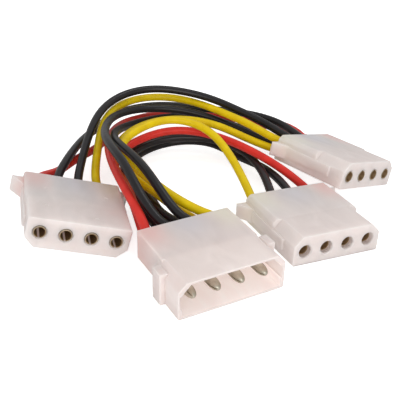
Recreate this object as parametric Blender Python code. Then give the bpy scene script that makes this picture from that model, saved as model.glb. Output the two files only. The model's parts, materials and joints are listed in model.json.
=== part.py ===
"""Drive power splitter cable: one pin connector feeding three socket connectors through twelve wires.

The cable lies on a surface. A connector's own axes are X across its mouth, Y from the mating face
back to the wires, and Z from its flat side to the side with the cut corners. Z is up in the scene.
"""
import math

import bmesh
import bpy
from mathutils import Matrix, Vector

MM = 0.001

# Play between pieces, how far a cutter runs past what it cuts, and how far joined bodies overlap
CLEAR = 0.3 * MM
PAST = 1.0 * MM
LAP = 0.6 * MM

# Wires
WIRE_RADIUS = 1.0 * MM
WIRE_SPACING = 2 * WIRE_RADIUS + CLEAR
WIRE_INSERT = 6.0 * MM
WIRE_OUT = 0.6 * MM
WIRE_STEP = 3.2 * MM

# Terminals: the rolled socket, the rolled pin, and the crimp behind each, for one wire or two
PITCH = 5.08 * MM
WAYS = 4
SOCKET_OUTER = 1.45 * MM
SOCKET_INNER = 1.12 * MM
SOCKET_LENGTH = 8.8 * MM
SOCKET_SLIT = 0.4 * MM
PIN_RADIUS = 1.065 * MM
PIN_REACH = 7.7 * MM
PIN_BULLET = 2.0 * MM
PIN_SEAM = 0.3 * MM
SEAM_LENGTH = 6.0 * MM
SEAM_FLOOR = 0.45 * MM
NECK_WIDTH = 1.5 * MM
NECK_LENGTH = 0.4 * MM
NECK_GAP = 0.2 * MM
CRIMP_FLARE = 0.7 * MM
SOCKET_CRIMP = 4.7 * MM
PIN_CRIMP = 1.0 * MM
CRIMP_WALL = 0.25 * MM
CRIMP_WIDTH = 2 * (WIRE_RADIUS + CRIMP_WALL)
CRIMP_SINGLE = CRIMP_WIDTH
CRIMP_DOUBLE = WIRE_SPACING + 2 * WIRE_RADIUS

# Ways through a housing: a bore for the terminal, then a slot for the crimp
BORE = SOCKET_OUTER + CLEAR
SLOT_PLAY = 0.6 * MM
SLOT_WIDTH = CRIMP_WIDTH + 2 * SLOT_PLAY
SLOT_HEIGHT = CRIMP_DOUBLE + 2 * CLEAR
SPAN = (WAYS - 1) * PITCH

# Socket housing
FRONT_WALL = 0.93 * MM
REAR_WALL = 1.03 * MM
FLAT_WALL = 0.58 * MM
ROOF_WALL = 0.97 * MM
SOCKET_WIDTH = SPAN + 2 * (BORE + FRONT_WALL)
SOCKET_HEIGHT = FLAT_WALL + SLOT_HEIGHT + ROOF_WALL
CORNER_CUT = 2.0 * MM
MATING_DEPTH = 8.4 * MM
STEP_LENGTH = 0.4 * MM
REAR_WIDTH = SPAN + SLOT_WIDTH + 2 * REAR_WALL
REAR_EDGE = 0.3 * MM
WAY_HEIGHT = FLAT_WALL + SLOT_HEIGHT / 2
LIP = 0.55 * MM
HOLE = PIN_RADIUS + CLEAR
HOLE_STRAIGHT = 0.3 * MM
LEAD_IN = 1.6 * MM
SOCKET_FRONT = LIP + CLEAR
SOCKET_END = SOCKET_FRONT + SOCKET_LENGTH
SLOT_FRONT = SOCKET_END + NECK_GAP
SOCKET_DEPTH = SLOT_FRONT + SOCKET_CRIMP + CLEAR + WIRE_INSERT
WING_PROUD = 2.35 * MM
WING_LOW = 1.35 * MM
WING_HIGH = 4.7 * MM
WING_RAMP = 3.8 * MM
WING_FLAT = 0.4 * MM
RIB_PROUD = 0.45 * MM
RIB_LOW = 1.85 * MM
RIB_HIGH = 4.3 * MM
RIB_FRONT = 3.6 * MM
RIB_SLOPE = 0.5 * MM

# Pin housing, whose shroud takes the socket housing's mating stretch and the ribs beside it
MATE_GAP = 0.15 * MM
SHROUD_SPARE = 0.1 * MM
SHROUD_SIDE_WALL = 0.8 * MM
SHROUD_FLAT_WALL = 0.42 * MM
SHROUD_WIDTH = SOCKET_WIDTH + 2 * (MATE_GAP + SHROUD_SIDE_WALL)
SHROUD_HEIGHT = SOCKET_HEIGHT + 2 * (MATE_GAP + SHROUD_FLAT_WALL)
SHROUD_DEPTH = MATING_DEPTH + SHROUD_SPARE
SHROUD_CUT = 1.7 * MM
MOUTH_CUT = CORNER_CUT - SHROUD_SPARE
MOUTH_LOW = SHROUD_FLAT_WALL + MATE_GAP
SHROUD_BACK = 1.2 * MM
PIN_FLOOR = 3.9 * MM
PIN_REAR_WALL = 0.73 * MM
PIN_REAR_ROOF = 0.775 * MM
PIN_REAR_WIDTH = SPAN + SLOT_WIDTH + 2 * PIN_REAR_WALL
PIN_REAR_HEIGHT = SLOT_HEIGHT + 2 * PIN_REAR_ROOF
PIN_HEIGHT = MOUTH_LOW + WAY_HEIGHT
PIN_SLOT_FRONT = SHROUD_DEPTH + PIN_FLOOR
PIN_DEPTH = PIN_SLOT_FRONT + PIN_CRIMP + CLEAR + WIRE_INSERT
REAR_LEVEL = SHROUD_HEIGHT - PIN_REAR_HEIGHT / 2
FLANGE_PROUD = 1.0 * MM
FLANGE_FRONT = 5.2 * MM
FLANGE_LENGTH = 3.2 * MM
FLANGE_LOW = 0.15 * MM
FLANGE_DROP = 0.8 * MM

# Where each connector lies: the middle of its mating face in millimetres, then turn, pitch and roll
# in degrees. Its lowest corner stands on the surface.
LIES = {
    "left": ((-27.45, -21.55), (15.0, 0.0, 14.27)),
    "right": ((25.3, -14.75), (25.2, 0.0, 0.0)),
    "far": ((36.4, 15.5), (42.54, 1.01, 12.43)),
    "front": ((3.56, -33.42), (29.78, 1.78, -2.35)),
}

NYLON = (0.80, 0.76, 0.72, 1.0)
TIN = (0.48, 0.44, 0.34, 1.0)
INSULATION = {
    "black": (0.022, 0.019, 0.022, 1.0),
    "red": (0.66, 0.035, 0.028, 1.0),
    "yellow": (0.66, 0.47, 0.008, 1.0),
}

# Wires: colour, the two ways that it joins (connector, way from its left, level in the way), and
# the points of its free run in millimetres
WIRES = {
    "wire_black_outer": ("black", ("left", 2, 0), ("far", 1, 1), [
        (-30.7, 2.2, 5.6), (-31.4, 9.5, 7.3), (-31.3, 17.1, 9.4), (-30.8, 25.0, 11.3),
        (-29.1, 32.8, 13.1), (-24.6, 39.3, 14.7), (-17.6, 43.2, 15.3), (-9.6, 44.2, 14.7),
        (-1.6, 43.0, 13.4), (5.8, 40.1, 11.6), (12.7, 36.3, 9.7), (18.9, 31.4, 7.8)]),
    "wire_yellow_outer": ("yellow", ("left", 3, 0), ("far", 0, 1), [
        (-26.3, 3.3, 4.3), (-28.2, 11.0, 5.9), (-28.7, 19.2, 8.4), (-28.9, 27.8, 10.0),
        (-27.2, 36.3, 11.3), (-22.1, 43.2, 12.1), (-13.8, 46.0, 12.2), (-5.4, 44.2, 11.6),
        (1.9, 39.3, 10.9), (8.7, 33.8, 10.0), (15.2, 28.0, 8.7)]),
    "wire_black_inner": ("black", ("left", 1, 0), ("far", 2, 1), [
        (-35.2, 1.1, 6.9), (-35.0, 8.9, 7.8), (-34.2, 17.2, 7.9), (-33.0, 25.5, 7.6),
        (-31.1, 33.9, 7.2), (-28.0, 41.7, 7.8), (-21.3, 46.5, 8.8), (-13.0, 48.3, 9.1),
        (-4.6, 48.8, 8.5), (3.9, 49.2, 7.9), (12.1, 47.6, 7.4), (18.7, 42.4, 6.9), (22.9, 35.1, 6.4)]),
    "wire_red_outer": ("red", ("left", 0, 0), ("far", 3, -1), [
        (-39.2, 0.2, 7.8), (-36.9, 7.9, 6.0), (-34.6, 15.8, 5.2), (-32.0, 23.7, 4.3),
        (-29.8, 32.0, 3.5), (-28.4, 40.5, 3.0), (-25.8, 48.7, 2.9), (-20.7, 55.5, 2.7),
        (-13.3, 59.9, 2.5), (-4.9, 61.5, 2.3), (3.7, 60.8, 2.3), (11.9, 58.2, 2.6),
        (19.2, 53.6, 3.0), (23.8, 46.5, 3.1), (26.3, 38.3, 2.9)]),
    "wire_black_far_a": ("black", ("front", 1, 1), ("far", 1, -1), [
        (-11.0, -15.6, 7.1), (-16.1, -9.7, 11.0), (-20.0, -2.5, 13.7), (-23.7, 5.4, 14.2),
        (-26.2, 13.8, 13.6), (-27.0, 22.4, 12.6), (-26.0, 31.0, 11.7), (-21.4, 38.3, 11.0),
        (-13.5, 41.9, 10.3), (-4.8, 42.0, 9.2), (3.4, 39.6, 7.5), (11.1, 35.9, 5.8), (18.3, 31.0, 5.1)]),
    "wire_black_far_b": ("black", ("front", 2, 1), ("far", 2, -1), [
        (-6.8, -13.2, 7.3), (-12.1, -7.6, 10.8), (-16.3, -0.8, 12.8), (-20.5, 6.3, 13.1),
        (-23.8, 13.9, 12.2), (-24.9, 22.0, 10.7), (-23.9, 30.1, 9.0), (-20.8, 37.8, 7.6),
        (-15.2, 43.9, 6.9), (-7.6, 47.2, 6.5), (0.7, 46.9, 5.7), (8.4, 43.9, 4.7),
        (15.7, 39.9, 4.3), (22.1, 34.5, 4.0)]),
    "wire_yellow_far": ("yellow", ("front", 3, -1), ("far", 0, -1), [
        (-2.5, -10.5, 4.5), (-8.6, -5.4, 5.2), (-14.0, 0.4, 6.1), (-19.1, 6.7, 6.6),
        (-22.6, 13.9, 7.4), (-23.8, 21.8, 8.0), (-20.9, 29.2, 8.9), (-15.0, 34.7, 9.5),
        (-7.3, 36.8, 9.4), (0.7, 35.5, 8.5), (7.8, 31.8, 7.1), (14.6, 27.5, 6.3)]),
    "wire_red_far": ("red", ("front", 0, 1), ("far", 3, 1), [
        (-14.1, -17.5, 6.8), (-17.6, -9.8, 8.9), (-21.1, -1.8, 10.1), (-23.8, 6.5, 10.2),
        (-25.6, 15.0, 9.6), (-26.5, 23.6, 8.6), (-26.4, 32.2, 7.5), (-24.3, 40.6, 6.5),
        (-19.5, 47.8, 5.6), (-12.4, 52.8, 5.0), (-3.9, 54.4, 4.8), (4.6, 52.7, 4.6),
        (12.4, 48.9, 4.7), (19.4, 43.7, 4.8), (25.7, 38.1, 5.1)]),
    "wire_yellow_near": ("yellow", ("front", 3, 1), ("right", 0, 0), [
        (-2.5, -10.7, 7.1), (-9.3, -5.9, 8.2), (-15.3, 0.2, 9.5), (-20.0, 7.4, 10.0),
        (-22.4, 15.5, 10.5), (-18.4, 22.7, 12.1), (-10.9, 26.7, 13.0), (-2.8, 25.3, 11.5),
        (2.5, 19.2, 8.7), (5.9, 11.8, 6.0), (8.5, 4.0, 3.5)]),
    "wire_red_near": ("red", ("front", 0, -1), ("right", 3, 0), [
        (-14.1, -17.4, 4.4), (-16.4, -9.9, 5.7), (-18.8, -2.1, 6.5), (-21.2, 5.7, 5.9),
        (-23.8, 13.6, 5.0), (-23.8, 21.6, 5.5), (-18.5, 27.4, 7.4), (-11.0, 30.1, 8.8),
        (-3.0, 29.5, 8.7), (4.4, 26.4, 7.8), (11.1, 21.8, 6.5), (17.2, 16.8, 4.7), (22.0, 10.3, 3.2)]),
    "wire_black_near_a": ("black", ("front", 1, -1), ("right", 1, 0), [
        (-10.1, -15.0, 4.2), (-14.4, -8.2, 4.3), (-17.1, -0.5, 4.2), (-20.0, 7.3, 3.9),
        (-22.0, 15.3, 3.6), (-21.8, 23.4, 3.8), (-17.3, 30.0, 4.9), (-9.8, 33.1, 5.7),
        (-1.6, 32.8, 5.8), (5.6, 29.0, 5.3), (10.1, 22.3, 4.4), (12.2, 14.4, 3.8), (13.3, 6.2, 3.2)]),
    "wire_black_near_b": ("black", ("front", 2, -1), ("right", 2, 0), [
        (-6.0, -12.6, 4.4), (-11.3, -5.9, 3.8), (-14.3, 2.3, 3.1), (-17.5, 10.3, 2.3),
        (-20.2, 18.6, 1.6), (-21.0, 27.1, 1.3), (-16.9, 34.6, 1.7), (-9.3, 38.4, 2.5),
        (-0.9, 37.0, 2.8), (5.4, 31.1, 2.4), (10.8, 24.3, 2.9), (15.0, 16.7, 3.2), (17.7, 8.3, 3.1)]),
}


def clear_scene():
    for obj in list(bpy.data.objects):
        bpy.data.objects.remove(obj, do_unlink=True)


def material(name, colour, roughness, metallic=0.0):
    mat = bpy.data.materials.new(name)
    mat.use_nodes = True
    shader = mat.node_tree.nodes["Principled BSDF"]
    shader.inputs["Base Color"].default_value = colour
    shader.inputs["Roughness"].default_value = roughness
    shader.inputs["Metallic"].default_value = metallic
    mat.diffuse_color = colour
    return mat


def place(name, data, parent=None):
    obj = bpy.data.objects.new(name, data)
    bpy.context.scene.collection.objects.link(obj)
    obj.parent = parent
    return obj


def mesh_object(name, bm):
    bmesh.ops.recalc_face_normals(bm, faces=bm.faces)
    mesh = bpy.data.meshes.new(name)
    bm.to_mesh(mesh)
    bm.free()
    return place(name, mesh)


def loft(name, sections):
    """A closed body through (y, outline) sections; each outline lists the same number of (x, z)."""
    bm = bmesh.new()
    rings = [[bm.verts.new((x, y, z)) for x, z in outline] for y, outline in sections]
    bm.faces.new(rings[0])
    bm.faces.new(rings[-1])
    for a, b in zip(rings, rings[1:]):
        for i in range(len(a)):
            j = (i + 1) % len(a)
            bm.faces.new((a[i], a[j], b[j], b[i]))
    return mesh_object(name, bm)


def plate(name, outline, low, high):
    """A plan outline of (x, y) carried up from low to high."""
    bm = bmesh.new()
    base = bm.faces.new([bm.verts.new((x, y, low)) for x, y in outline])
    grown = bmesh.ops.extrude_face_region(bm, geom=[base])
    verts = [v for v in grown["geom"] if isinstance(v, bmesh.types.BMVert)]
    bmesh.ops.translate(bm, verts=verts, vec=(0.0, 0.0, high - low))
    return mesh_object(name, bm)


def block(name, width, y0, y1, z0, z1, x=0.0):
    outline = [(x - width / 2, y0), (x + width / 2, y0), (x + width / 2, y1), (x - width / 2, y1)]
    return plate(name, outline, z0, z1)


def turned(name, profile, x=0.0, z=0.0, steps=20):
    """A profile of (radius, y) spun once around a line along Y; it starts and ends on that line."""
    bm = bmesh.new()
    verts = [bm.verts.new((x + r, y, z)) for r, y in profile]
    edges = [bm.edges.new(pair) for pair in zip(verts, verts[1:])]
    bmesh.ops.spin(bm, geom=verts + edges, cent=(x, 0.0, z), axis=(0.0, 1.0, 0.0),
                   angle=2 * math.pi, steps=steps, use_merge=True)
    bmesh.ops.remove_doubles(bm, verts=bm.verts, dist=0.00001)
    return mesh_object(name, bm)


def combine(body, tools, operation):
    """Joins or cuts with each tool in turn, then keeps the result as the body's own mesh."""
    for tool in tools:
        tool.hide_render = True
        tool.display_type = "WIRE"
        step = body.modifiers.new(tool.name, "BOOLEAN")
        step.operation = operation
        step.solver = "EXACT"
        step.object = tool
    graph = bpy.context.evaluated_depsgraph_get()
    made = bpy.data.meshes.new_from_object(body.evaluated_get(graph))
    body.modifiers.clear()
    body.data = made
    for tool in tools:
        bpy.data.objects.remove(tool, do_unlink=True)
    return body


def way_x(way):
    return (way - (WAYS - 1) / 2) * PITCH


def cut_corner_outline(width, height, cut, low=0.0):
    """A connector's section: flat side down and the two upper corners cut off."""
    half = width / 2
    return [(-half, low), (half, low), (half, low + height - cut), (half - cut, low + height),
            (cut - half, low + height), (-half, low + height - cut)]


def socket_housing():
    """The housing whose front plugs into a shroud, with a stepped body, rear wings and side ribs."""
    front = cut_corner_outline(SOCKET_WIDTH, SOCKET_HEIGHT, CORNER_CUT)
    rear = cut_corner_outline(REAR_WIDTH, SOCKET_HEIGHT, REAR_EDGE)
    step = MATING_DEPTH + STEP_LENGTH
    body = loft("socket_body", [(0.0, front), (MATING_DEPTH, front), (step, rear), (SOCKET_DEPTH, rear)])
    wing_front = SOCKET_DEPTH - WING_RAMP
    extras = []
    for side in (-1, 1):
        inner = side * (REAR_WIDTH / 2 - LAP)
        skin = side * REAR_WIDTH / 2
        tip = side * (REAR_WIDTH / 2 + WING_PROUD)
        outline = [(inner, wing_front), (skin, wing_front),
                   (tip, SOCKET_DEPTH - WING_FLAT), (tip, SOCKET_DEPTH), (inner, SOCKET_DEPTH)]
        extras.append(plate("wing", outline, WING_LOW, WING_HIGH))
        proud = side * (SOCKET_WIDTH / 2 + RIB_PROUD)
        root = side * (SOCKET_WIDTH / 2 - LAP)
        outline = [(root, RIB_FRONT), (proud, RIB_FRONT + RIB_SLOPE),
                   (proud, wing_front + LAP), (root, wing_front + LAP)]
        extras.append(plate("rib", outline, RIB_LOW, RIB_HIGH))
    combine(body, extras, "UNION")
    cuts = []
    narrow = LIP - HOLE_STRAIGHT
    slope = (LEAD_IN - HOLE) / narrow
    for way in range(WAYS):
        profile = [(0.0, -PAST), (LEAD_IN + slope * PAST, -PAST), (HOLE, narrow), (HOLE, LIP),
                   (BORE, LIP), (BORE, SLOT_FRONT + LAP), (0.0, SLOT_FRONT + LAP)]
        cuts.append(turned("way", profile, way_x(way), WAY_HEIGHT))
        cuts.append(block("slot", SLOT_WIDTH, SLOT_FRONT, SOCKET_DEPTH + PAST,
                          WAY_HEIGHT - SLOT_HEIGHT / 2, WAY_HEIGHT + SLOT_HEIGHT / 2, way_x(way)))
    return combine(body, cuts, "DIFFERENCE").data


def pin_housing():
    """The housing with the shroud: an open box around the pins, side flanges and a lower rear block."""
    shroud = cut_corner_outline(SHROUD_WIDTH, SHROUD_HEIGHT, SHROUD_CUT)
    body = loft("pin_body", [(0.0, shroud), (SHROUD_DEPTH + SHROUD_BACK, shroud)])
    low = SHROUD_HEIGHT - PIN_REAR_HEIGHT
    extras = [block("rear", PIN_REAR_WIDTH, SHROUD_DEPTH, PIN_DEPTH, low, SHROUD_HEIGHT)]
    for side in (-1, 1):
        middle = side * (SHROUD_WIDTH + FLANGE_PROUD - LAP) / 2
        extras.append(block("flange", FLANGE_PROUD + LAP, FLANGE_FRONT, FLANGE_FRONT + FLANGE_LENGTH,
                            FLANGE_LOW, SHROUD_HEIGHT - FLANGE_DROP, middle))
    combine(body, extras, "UNION")
    inside = cut_corner_outline(SOCKET_WIDTH + 2 * MATE_GAP, SOCKET_HEIGHT + 2 * MATE_GAP,
                                MOUTH_CUT, SHROUD_FLAT_WALL)
    grooves = SOCKET_WIDTH + 2 * (RIB_PROUD + MATE_GAP)
    cuts = [loft("mouth", [(-PAST, inside), (SHROUD_DEPTH, inside)]),
            block("rib_grooves", grooves, -PAST, SHROUD_DEPTH,
                  MOUTH_LOW + RIB_LOW - MATE_GAP, MOUTH_LOW + RIB_HIGH + MATE_GAP)]
    radius = PIN_RADIUS + CLEAR
    for way in range(WAYS):
        profile = [(0.0, SHROUD_DEPTH - PAST), (radius, SHROUD_DEPTH - PAST),
                   (radius, PIN_SLOT_FRONT + LAP), (0.0, PIN_SLOT_FRONT + LAP)]
        cuts.append(turned("way", profile, way_x(way), PIN_HEIGHT))
        cuts.append(block("slot", SLOT_WIDTH, PIN_SLOT_FRONT, PIN_DEPTH + PAST,
                          REAR_LEVEL - SLOT_HEIGHT / 2, REAR_LEVEL + SLOT_HEIGHT / 2, way_x(way)))
    return combine(body, cuts, "DIFFERENCE").data


def split_tube_outline(outer, inner, slit, steps=9):
    """A tube's section with a slit at the top."""
    points = []
    for radius, order in ((outer, 1), (inner, -1)):
        gap = math.asin(slit / 2 / radius)
        start = math.pi / 2 + gap
        span = 2 * math.pi - 2 * gap
        turn = [start + span * i / (2 * steps) for i in range(2 * steps + 1)][::order]
        points += [(radius * math.cos(a), radius * math.sin(a)) for a in turn]
    return points


def crimp(name, start, flare, end, height, rise=0.0):
    """A neck of square section that flares into the crimp around the wires, raised by rise."""
    def section(y, width, tall, middle):
        return y, [(x * width / 2, middle + z * tall / 2) for x, z in ((-1, -1), (1, -1), (1, 1), (-1, 1))]

    return loft(name, [section(start, NECK_WIDTH, NECK_WIDTH, 0.0),
                       section(flare, NECK_WIDTH, NECK_WIDTH, 0.0),
                       section(flare + CRIMP_FLARE, CRIMP_WIDTH, height, rise),
                       section(end, CRIMP_WIDTH, height, rise)])


def socket_terminal(crimp_height):
    """A rolled split socket with the crimp that holds its wires; its centre line is at x and z zero."""
    outline = split_tube_outline(SOCKET_OUTER, SOCKET_INNER, SOCKET_SLIT)
    tube = loft("tube", [(SOCKET_FRONT, outline), (SOCKET_END, outline)])
    web = block("web", SOCKET_OUTER + SOCKET_INNER, SOCKET_END - LAP, SOCKET_END,
                -NECK_WIDTH / 2, NECK_WIDTH / 2)
    held = crimp("crimp", SOCKET_END - LAP, SLOT_FRONT + NECK_LENGTH, SLOT_FRONT + SOCKET_CRIMP, crimp_height)
    return combine(tube, [web, held], "UNION").data


def pin_terminal():
    """A rolled pin with a bullet tip, an open seam and its crimp; its centre line is at x and z zero."""
    tip = SHROUD_DEPTH - PIN_REACH
    end = PIN_SLOT_FRONT - LAP
    bullet = ((0.28, 0.0), (0.58, 0.22), (0.85, 0.55), (1.0, 1.0))
    profile = [(0.0, tip)]
    profile += [(PIN_RADIUS * out, tip + PIN_BULLET * along) for out, along in bullet]
    profile += [(PIN_RADIUS, end), (0.0, end)]
    pin = turned("pin", profile, steps=16)
    seam = block("seam", PIN_SEAM, tip - PAST, tip + SEAM_LENGTH, SEAM_FLOOR, PIN_RADIUS + PAST)
    combine(pin, [seam], "DIFFERENCE")
    held = crimp("crimp", end - LAP, PIN_SLOT_FRONT, PIN_SLOT_FRONT + PIN_CRIMP,
                 CRIMP_DOUBLE, REAR_LEVEL - PIN_HEIGHT)
    return combine(pin, [held], "UNION").data


def connector_frame(name, key, mesh):
    """An empty at the mating face of a housing whose lowest corner stands on the surface.

    The left connector lies with its cut corners down.
    """
    (x, y), (turn, pitch, roll) = LIES[key]
    matrix = Matrix.Rotation(math.radians(turn), 4, "Z") @ Matrix.Rotation(math.radians(pitch), 4, "X")
    matrix @= Matrix.Rotation(math.radians(roll), 4, "Y")
    if key == "left":
        matrix @= Matrix.Translation((0.0, 0.0, SOCKET_HEIGHT)) @ Matrix.Rotation(math.pi, 4, "Y")
    lowest = min((matrix @ vert.co).z for vert in mesh.vertices)
    matrix = Matrix.Translation((x * MM, y * MM, -lowest)) @ matrix
    frame = place(name, None)
    frame.matrix_world = matrix
    return frame, matrix


def way_point(key, matrix, way, level, back):
    """A point on a way's centre line, counted from the left as the connector lies, behind the rear face."""
    x = way_x(way)
    if key == "left":
        x = -x
    depth, height = (PIN_DEPTH, REAR_LEVEL) if key == "front" else (SOCKET_DEPTH, WAY_HEIGHT)
    return matrix @ Vector((x, depth + back, height + level * WIRE_SPACING / 2))


def smooth_run(points, spacing):
    """Even points along a natural cubic curve through the given points."""
    count = len(points)
    knots = [0.0]
    for a, b in zip(points, points[1:]):
        knots.append(knots[-1] + ((b - a).length / MM) ** 0.75)
    gaps = [b - a for a, b in zip(knots, knots[1:])]
    bends = [Vector((0.0, 0.0, 0.0)) for _ in points]
    ratio, shift = [0.0] * count, [Vector((0.0, 0.0, 0.0)) for _ in points]
    for i in range(1, count - 1):
        slope = (points[i + 1] - points[i]) / gaps[i] - (points[i] - points[i - 1]) / gaps[i - 1]
        pivot = 2 * (gaps[i - 1] + gaps[i]) - gaps[i - 1] * ratio[i - 1]
        ratio[i] = gaps[i] / pivot
        shift[i] = (6 * slope - gaps[i - 1] * shift[i - 1]) / pivot
    for i in range(count - 2, 0, -1):
        bends[i] = shift[i] - ratio[i] * bends[i + 1]
    fine = []
    for i in range(count - 1):
        for step in range(24):
            u = gaps[i] * step / 24
            cube = (bends[i + 1] - bends[i]) / (6 * gaps[i])
            line = (points[i + 1] - points[i]) / gaps[i] - gaps[i] * (2 * bends[i] + bends[i + 1]) / 6
            fine.append(points[i] + line * u + bends[i] / 2 * u ** 2 + cube * u ** 3)
    fine.append(points[-1])
    reach = [0.0]
    for a, b in zip(fine, fine[1:]):
        reach.append(reach[-1] + (b - a).length)
    total = max(2, round(reach[-1] / spacing))
    run, j = [], 0
    for i in range(total + 1):
        goal = reach[-1] * i / total
        while j < len(fine) - 2 and reach[j + 1] < goal:
            j += 1
        part = (goal - reach[j]) / (reach[j + 1] - reach[j])
        run.append(fine[j].lerp(fine[j + 1], part))
    return run


def wire(name, start, end, middle, frames):
    """A round wire whose two ends lie inside their ways."""
    backs = (-WIRE_INSERT, -WIRE_INSERT / 2, WIRE_OUT)
    route = [way_point(start[0], frames[start[0]], start[1], start[2], back) for back in backs]
    route += [Vector(point) * MM for point in middle]
    route += [way_point(end[0], frames[end[0]], end[1], end[2], back) for back in reversed(backs)]
    curve = bpy.data.curves.new(name, "CURVE")
    curve.dimensions = "3D"
    curve.bevel_depth = WIRE_RADIUS
    curve.bevel_resolution = 2
    curve.use_fill_caps = True
    curve.render_resolution_u = 0
    run = smooth_run(route, WIRE_STEP)
    line = curve.splines.new("POLY")
    line.points.add(len(run) - 1)
    for point, place_at in zip(line.points, run):
        point.co = (*place_at, 1.0)
    return place(name, curve)


def shade(mesh, angle=35):
    mesh.shade_smooth()
    mesh.set_sharp_from_angle(angle=math.radians(angle))


def main():
    clear_scene()
    nylon = material("natural_nylon", NYLON, 0.42)
    tin = material("tinned_brass", TIN, 0.38, 1.0)
    insulation = {key: material(f"{key}_insulation", colour, 0.36) for key, colour in INSULATION.items()}

    socket_body, pin_body = socket_housing(), pin_housing()
    single, double, pin = socket_terminal(CRIMP_SINGLE), socket_terminal(CRIMP_DOUBLE), pin_terminal()
    for obj in list(bpy.data.objects):
        bpy.data.objects.remove(obj, do_unlink=True)
    for mesh, mat in ((socket_body, nylon), (pin_body, nylon), (single, tin), (double, tin), (pin, tin)):
        mesh.materials.clear()
        mesh.materials.append(mat)
        shade(mesh)

    frames = {}
    for key in LIES:
        body = pin_body if key == "front" else socket_body
        frame, frames[key] = connector_frame(f"{key}_connector", key, body)
        if key == "front":
            place("pin_housing_front", pin_body, frame)
            for way in range(WAYS):
                terminal = place(f"pin_front_{way + 1}", pin, frame)
                terminal.location = (way_x(way), 0.0, PIN_HEIGHT)
            continue
        place(f"socket_housing_{key}", socket_body, frame)
        for way in range(WAYS):
            terminal = place(f"socket_{key}_{way + 1}", double if key == "far" else single, frame)
            terminal.location = (way_x(way), 0.0, WAY_HEIGHT)

    for name, (colour, start, end, middle) in WIRES.items():
        lead = wire(name, start, end, middle, frames)
        lead.data.materials.append(insulation[colour])


if __name__ == "__main__":
    main()
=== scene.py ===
"""Dresses the drive power splitter cable: nylon connectors, tinned terminals, wires, a studio.

A connector's own axes are X across its mouth, Y from the mating face back to the wires, and Z from
its flat side to the side with the cut corners. Every length here is in metres.
"""
import json
import math

import bmesh
import bpy
from bpy.props import FloatProperty, FloatVectorProperty, IntProperty, PointerProperty
from mathutils import Matrix, Vector


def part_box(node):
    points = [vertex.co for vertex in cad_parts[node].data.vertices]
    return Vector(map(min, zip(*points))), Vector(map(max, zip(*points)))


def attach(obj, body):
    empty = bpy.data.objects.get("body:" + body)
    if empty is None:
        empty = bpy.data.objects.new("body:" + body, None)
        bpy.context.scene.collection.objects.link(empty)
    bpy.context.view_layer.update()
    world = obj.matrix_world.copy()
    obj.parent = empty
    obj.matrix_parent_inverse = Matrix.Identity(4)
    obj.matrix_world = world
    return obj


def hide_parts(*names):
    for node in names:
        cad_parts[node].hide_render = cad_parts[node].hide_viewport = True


bl_info = {
    "name": "Drive power splitter cable",
    "version": (1, 0, 0),
    "blender": (4, 5, 0),
    "location": "View3D > Sidebar > Splitter",
    "description": "Builds the dressed splitter cable on its packed solids",
    "category": "Object",
}

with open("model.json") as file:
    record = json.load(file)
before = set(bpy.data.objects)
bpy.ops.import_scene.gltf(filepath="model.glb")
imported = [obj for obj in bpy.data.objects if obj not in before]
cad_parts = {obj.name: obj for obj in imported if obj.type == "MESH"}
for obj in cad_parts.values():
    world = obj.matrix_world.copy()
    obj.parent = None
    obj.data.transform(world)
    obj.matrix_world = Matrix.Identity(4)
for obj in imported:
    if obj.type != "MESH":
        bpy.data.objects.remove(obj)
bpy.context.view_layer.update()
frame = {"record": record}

MM = 0.001

# How far a cutter reaches past a face, how far joined shapes overlap, and what counts as one point
PAST = 1.0 * MM
LAP = 0.6 * MM
WELD = 0.004 * MM

# Angles from which an edge is rounded, and from which it is shaded sharp
EDGE_ANGLE = math.radians(32)
SHARP_ANGLE = math.radians(40)

# Connector and terminal sizes, as the solids have them
PITCH = 5.08 * MM
WAYS = 4
SOCKET_WIDTH = 20.6 * MM
SOCKET_HEIGHT = 6.45 * MM
SOCKET_DEPTH = 20.85 * MM
CORNER_CUT = 2.0 * MM
MATING_DEPTH = 8.4 * MM
STEP_LENGTH = 0.4 * MM
REAR_WIDTH = 21.0 * MM
WAY_HEIGHT = 3.03 * MM
BORE = 1.75 * MM
SOCKET_END = 9.65 * MM
SLOT_FRONT = 9.85 * MM
SLOT_WIDTH = 3.7 * MM
SLOT_HEIGHT = 4.9 * MM
WING_PROUD = 2.35 * MM
WING_LOW = 1.35 * MM
WING_HIGH = 4.7 * MM
WING_RAMP = 3.8 * MM
WING_FLAT = 0.4 * MM
RIB_PROUD = 0.45 * MM
RIB_LOW = 1.85 * MM
RIB_HIGH = 4.3 * MM
RIB_FRONT = 3.6 * MM
RIB_SLOPE = 0.5 * MM
SHROUD_WIDTH = 22.5 * MM
SHROUD_HEIGHT = 7.59 * MM
SHROUD_DEPTH = 8.5 * MM
SHROUD_BACK = 1.2 * MM
SHROUD_CUT = 1.7 * MM
SHROUD_FLAT_WALL = 0.42 * MM
MATE_GAP = 0.15 * MM
MOUTH_CUT = 1.9 * MM
MOUTH_LOW = 0.57 * MM
PIN_REAR_WIDTH = 20.4 * MM
PIN_REAR_HEIGHT = 6.45 * MM
PIN_HEIGHT = 3.6 * MM
PIN_REACH = 7.7 * MM
PIN_BULLET = 2.0 * MM
PIN_CRIMP = 1.0 * MM
PIN_SLOT_FRONT = 12.4 * MM
PIN_DEPTH = 19.7 * MM
REAR_LEVEL = 4.365 * MM
FLANGE_PROUD = 1.0 * MM
FLANGE_FRONT = 5.2 * MM
FLANGE_LENGTH = 3.2 * MM
FLANGE_LOW = 0.15 * MM
FLANGE_DROP = 0.8 * MM
SEAM_LENGTH = 6.0 * MM
NECK_WIDTH = 1.5 * MM
SOCKET_NECK = 0.4 * MM
CRIMP_FLARE = 0.7 * MM
CRIMP_WIDTH = 2.5 * MM
SOCKET_CRIMP = 4.7 * MM
CRIMP_SINGLE = 2.5 * MM
CRIMP_DOUBLE = 4.3 * MM

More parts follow.
